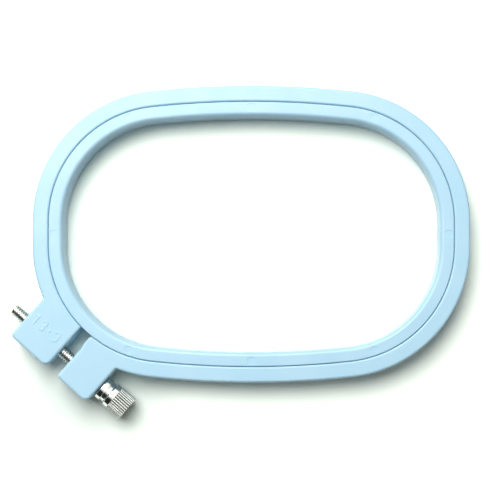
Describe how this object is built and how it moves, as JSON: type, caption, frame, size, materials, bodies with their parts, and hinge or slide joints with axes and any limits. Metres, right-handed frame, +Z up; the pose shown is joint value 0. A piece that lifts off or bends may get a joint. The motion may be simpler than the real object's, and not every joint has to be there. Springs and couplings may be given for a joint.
{
  "type": "embroidery hoop",
  "caption": "Oval embroidery hoop: a closed inner ring in a split outer ring, drawn together at two lugs by a knurled thumb screw.",
  "frame": {"origin": "middle of the base of the whole hoop, lugs and screw included", "axes": "+X along the oval's long way, +Y across it, +Z up through the window, away from the surface that the rings lie on"},
  "size_m": [0.14, 0.1012, 0.0102],
  "materials": {
    "ring_plastic": "pale blue moulded plastic, satin",
    "plated_screw": "bright nickel plate",
    "nut_steel": "zinc-plated steel"
  },
  "bodies": {
    "outer_ring": {"outer_ring": "ring_plastic", "captive_nut": "nut_steel"},
    "inner_ring": {"inner_ring": "ring_plastic"},
    "sleeve": {"head_sleeve": "plated_screw"},
    "thumb_screw": {"clamp_screw": "plated_screw", "thumb_head": "plated_screw"}
  },
  "joints": [
    {"name": "inner_ring_lift", "type": "slide", "parent": "outer_ring", "child": "inner_ring", "axis": [0, 0, 1], "range_m": [0, 0.014]},
    {"name": "screw_travel", "type": "slide", "parent": "outer_ring", "child": "sleeve", "axis": [0.7478, -0.6639, 0], "range_m": [0, 0.006]},
    {"name": "screw_turn", "type": "hinge", "parent": "sleeve", "child": "thumb_screw", "pos_m": [-0.05246, -0.03162, 0.005], "axis": [0.7478, -0.6639, 0], "range_deg": [0, 2880]}
  ],
  "couplings": [
    {"joint": "screw_turn", "follows": "screw_travel", "rad_per_m": 8377.6}
  ]
}
